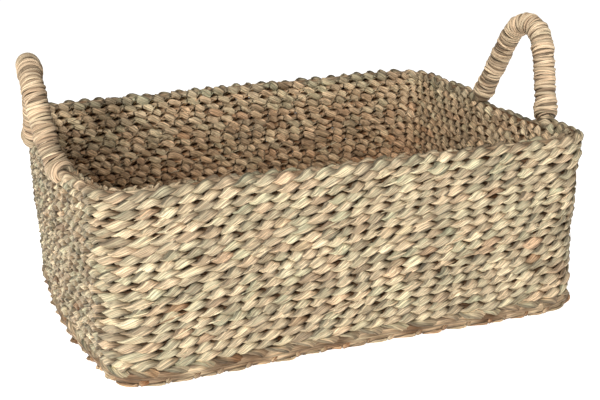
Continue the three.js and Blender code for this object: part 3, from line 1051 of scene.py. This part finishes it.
def loose_fibre(random, path, across, side):
    """A split fibre that has come up off a course's face and follows a leaf. side is 1 on the outside
    of the basket and -1 on the inside."""
    sizes = settings().basket_plait
    steps = int(random.integers(5, 14))
    stations = (int(random.integers(0, len(path))) + np.arange(steps)) % len(path)
    share = np.linspace(0, 1, steps)
    # Millimetres by which it stands off the face and climbs across the course
    off = 0.1 + 0.5 * np.sin(math.pi * share)
    if random.random() < STANDING_OFF:
        off = off + random.uniform(0.8, 2.6) * share ** 3
    climb = random.uniform(-1, 1) * 1.2 + (share - 0.5) * steps * random.uniform(0.35, 0.75) * side
    outwards = across[stations]
    points = path[stations] + outwards * (side * (sizes.width / 2 + off * MM))[:, None]
    points[:, 2] += climb * MM
    heading = open_tangents(points)
    broad = square_to(np.cross(heading, outwards), heading)
    size = random.uniform(0.45, 1.2) * (0.35 + 0.65 * np.sin(math.pi * np.clip(share, 0.08, 0.92)))
    mix = np.repeat(leaf_colours(random, 1, (0.15,), (0.05,)), steps, axis=0)
    mix[:, 3] = np.clip(mix[:, 3] + random.uniform(-0.3, 0.4), 0, 1)
    return Run(points, broad, size, mix, random.random() + share * 0.02)


def cut_end(random, path, across, station):
    """The short cut end of a leaf that stands up off the rim and leans along it"""
    sizes = settings().basket_plait
    share = np.linspace(0, 1, 4)
    heading = path[(station + 1) % len(path)] - path[station]
    lean = (0.6 + random.normal(0, 0.3)) * heading / np.linalg.norm(heading)
    lean = lean - random.uniform(-0.1, 0.35) * across[station] + (0, 0, 1)
    base = path[station] - random.uniform(0, 0.4) * sizes.width * across[station]
    base = base + (0, 0, sizes.thickness * 0.3)
    points = base + share[:, None] * lean * random.uniform(2, 3.8) * MM
    broad = square_to(np.tile(heading, (len(share), 1)), open_tangents(points))
    mix = np.repeat(leaf_colours(random, 1, (0.25,), (0.3,)), len(share), axis=0)
    size = random.uniform(2, 3.6) * (1 - 0.5 * share ** 2)
    return Run(points, broad, size, mix, random.random() + share * 0.004)


# The studio

# Name, place, target, width, height and watts of each soft light
LIGHTS = (
    ("key", (-1.27, -1.7, 1.0), (0, 0, 0.08), 0.55, 0.5, 35),
    ("top", (-0.4, -1.0, 1.9), (0, 0, 0.05), 0.5, 0.4, 20),
)
FLOOR_SIZE = 12
# A faint glow keeps the floor white to its edges, as a lit studio sweep is
FLOOR_GLOW = 0.85
FILL_LIGHT = 0.12
# The camera as fitted to the photo: its place, the directions to its right and up, and its lens and
# sensor width in mm
CAMERA_PLACE = Vector((-317.022, -868.463, 357.682)) * MM
CAMERA_RIGHT = Vector((0.93276, -0.36001, -0.01863))
CAMERA_UP = Vector((0.12355, 0.27070, 0.95470))
CAMERA_LENS, CAMERA_SENSOR = 67.11, 36


def studio_floor(hex_colour):
    """A pale floor of matt paper, which gives the eye no texture and no gloss"""
    bpy.ops.mesh.primitive_plane_add(size=FLOOR_SIZE, location=(0, 0, 0))
    floor = bpy.context.object
    floor.name = "studio_floor"
    paper = bpy.data.materials.new("matt_studio_paper")
    paper.use_nodes = True
    inputs = paper.node_tree.nodes["Principled BSDF"].inputs
    inputs["Base Color"].default_value = (*linear(hex_colour), 1)
    inputs["Roughness"].default_value = 0.9
    inputs["Specular IOR Level"].default_value = 0.1
    inputs["Emission Color"].default_value = (1, 1, 1, 1)
    inputs["Emission Strength"].default_value = FLOOR_GLOW
    floor.data.materials.append(paper)


def softbox(name, position, target, width, height, watts):
    """A soft rectangular light that looks at a target"""
    data = bpy.data.lights.new(name + "_softbox", "AREA")
    data.shape = "RECTANGLE"
    data.size = width
    data.size_y = height
    data.energy = watts
    lamp = bpy.data.objects.new(data.name, data)
    bpy.context.scene.collection.objects.link(lamp)
    lamp.location = position
    lamp.rotation_euler = (Vector(position) - Vector(target)).to_track_quat("Z", "Y").to_euler()


def fitted_camera():
    """The scene's camera, at the photo's angle"""
    data = bpy.data.cameras.new("photo_camera")
    data.lens = CAMERA_LENS
    data.sensor_width = CAMERA_SENSOR
    camera = bpy.data.objects.new("photo_camera", data)
    bpy.context.scene.collection.objects.link(camera)
    turn = Matrix((CAMERA_RIGHT, CAMERA_UP, CAMERA_RIGHT.cross(CAMERA_UP))).transposed().to_4x4()
    camera.matrix_world = Matrix.Translation(CAMERA_PLACE) @ turn
    bpy.context.scene.camera = camera


# Operators

class BASKET_OT_base(bpy.types.Operator):
    """Plaits the base: a middle strip and the courses that stand on edge round it"""
    bl_idname = "mesh.basket_base"
    bl_label = "Base"
    bl_options = {"REGISTER", "UNDO"}

    def execute(self, context):
        low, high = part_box(BASE_CENTRE)
        middle = (low + high) / 2
        inset = 2 * MM
        strip = np.array([(low.x + inset, middle.y, middle.z), (high.x - inset, middle.y, middle.z)])
        piece = course("base_middle_plait", strip, False, True, PLAIN, BASE_LOOK)
        place(piece, "base_plait", plait_material(), BASE_CENTRE)
        for node in BASE_COURSES:
            piece = course(node + "_plait", standing_line(node), True, True, PLAIN, BASE_LOOK)
            place(piece, "base_plait", plait_material(), node)
        return {"FINISHED"}


class BASKET_OT_edge_course(bpy.types.Operator):
    """Plaits the outermost base course, which stands on edge and shows below the walls"""
    bl_idname = "mesh.basket_edge_course"
    bl_label = "Edge Course"
    bl_options = {"REGISTER", "UNDO"}

    def execute(self, context):
        piece = course("base_edge_plait", standing_line(EDGE_COURSE), True, True, FINE, EDGE_LOOK)
        place(piece, "edge_plait", plait_material(), EDGE_COURSE)
        return {"FINISHED"}


class BASKET_OT_wall_courses(bpy.types.Operator):
    """Plaits the courses of the walls, each lying flat on the one below"""
    bl_idname = "mesh.basket_wall_courses"
    bl_label = "Wall Courses"
    bl_options = {"REGISTER", "UNDO"}

    def execute(self, context):
        for node in WALL_COURSES:
            line = wall_line(node)
            piece = course(node + "_plait", line, True, False, FINE, wall_look(line[0, 2]))
            place(piece, "wall_plait", plait_material(), node)
        return {"FINISHED"}


class BASKET_OT_rim_course(bpy.types.Operator):
    """Plaits the top course, which leaves the wall at each end and rises as a handle's core"""
    bl_idname = "mesh.basket_rim_course"
    bl_label = "Rim and Handle Course"
    bl_options = {"REGISTER", "UNDO"}

    def execute(self, context):
        piece = course("rim_and_handle_plait", rim_path(), True, False, FINE, RIM_LOOK)
        place(piece, "wall_plait", plait_material(), RIM_COURSE)
        return {"FINISHED"}


class BASKET_OT_bindings(bpy.types.Operator):
    """Winds a cord round each handle"""
    bl_idname = "mesh.basket_bindings"
    bl_label = "Handle Bindings"
    bl_options = {"REGISTER", "UNDO"}

    def execute(self, context):
        bind_handle("right_handle_binding", 1)
        bind_handle("left_handle_binding", -1)
        return {"FINISHED"}


class BASKET_OT_loose_fibres(bpy.types.Operator):
    """Lays the split fibres that have come loose over the walls"""
    bl_idname = "mesh.basket_loose_fibres"
    bl_label = "Loose Fibres"
    bl_options = {"REGISTER", "UNDO"}

    def execute(self, context):
        random = np.random.default_rng(seed_of("loose_fibres"))
        fibres_each = settings().basket_plait.loose_fibres // len(WALL_COURSES)
        runs = []
        for node in WALL_COURSES:
            path = sewn(evenly(wall_line(node), FINE[0], True)[0], True)
            across = outwards_of(closed_tangents(path))
            for _ in range(fibres_each):
                side = 1 if random.random() < ON_OUTER_FACE else -1
                runs.append(loose_fibre(random, path, across, side))
        rim = wall_line(WALL_COURSES[-1], rim_height())
        path = sewn(evenly(rim, FINE[0], True)[0], True)
        across = outwards_of(closed_tangents(path))
        frayed = np.flatnonzero((path[:, 0] < FRAYED_FROM[0]) & (path[:, 1] < FRAYED_FROM[1]))
        for station in random.choice(frayed, CUT_ENDS, replace=False):
            runs.append(cut_end(random, path, across, station))
        piece = swept("loose_fibres", runs, strand_section(1.1 * MM, 0.4 * MM, 3, 0), False)
        place(piece, "wall_plait", plait_material())
        return {"FINISHED"}


class BASKET_OT_stage(bpy.types.Operator):
    """Sets a pale floor, soft studio light and the camera"""
    bl_idname = "scene.basket_stage"
    bl_label = "Stage"
    bl_options = {"REGISTER", "UNDO"}

    def execute(self, context):
        studio_floor(settings().basket_colours.floor)
        for light in LIGHTS:
            softbox(*light)
        world = bpy.data.worlds.new("studio_fill")
        world.use_nodes = True
        background = world.node_tree.nodes["Background"]
        background.inputs["Color"].default_value = (1, 0.99, 0.97, 1)
        background.inputs["Strength"].default_value = FILL_LIGHT
        scene = context.scene
        scene.world = world
        fitted_camera()
        scene.view_settings.view_transform = "Standard"
        return {"FINISHED"}


class BASKET_PT_panel(bpy.types.Panel):
    """The basket's sizes and steps, in the 3D view's sidebar"""
    bl_idname = "BASKET_PT_panel"
    bl_label = "Seagrass Magazine Basket"
    bl_space_type = "VIEW_3D"
    bl_region_type = "UI"
    bl_category = "Basket"

    def draw(self, context):
        for group in GROUPS:
            column = self.layout.column(align=True)
            holder = getattr(context.scene, group)
            for name in holder.bl_rna.properties.keys():
                if name not in ("rna_type", "name"):
                    column.prop(holder, name)
        steps = self.layout.column(align=True)
        for operator in OPERATORS:
            steps.operator(operator.bl_idname, text=operator.bl_label)


GROUPS = {
    "basket_body": BasketBody,
    "basket_plait": BasketPlait,
    "basket_handles": BasketHandles,
    "basket_colours": BasketColours,
}
OPERATORS = (
    BASKET_OT_base,
    BASKET_OT_edge_course,
    BASKET_OT_wall_courses,
    BASKET_OT_rim_course,
    BASKET_OT_bindings,
    BASKET_OT_loose_fibres,
    BASKET_OT_stage,
)
CLASSES = (*GROUPS.values(), *OPERATORS, BASKET_PT_panel)


def register():
    for part in CLASSES:
        bpy.utils.register_class(part)
    for name, group in GROUPS.items():
        setattr(bpy.types.Scene, name, PointerProperty(type=group))


def unregister():
    for name in GROUPS:
        delattr(bpy.types.Scene, name)
    for part in reversed(CLASSES):
        bpy.utils.unregister_class(part)


def main():
    register()
    bpy.ops.mesh.basket_base()
    bpy.ops.mesh.basket_edge_course()
    bpy.ops.mesh.basket_wall_courses()
    bpy.ops.mesh.basket_rim_course()
    bpy.ops.mesh.basket_bindings()
    bpy.ops.mesh.basket_loose_fibres()
    bpy.ops.scene.basket_stage()


if __name__ == "__main__":
    main()
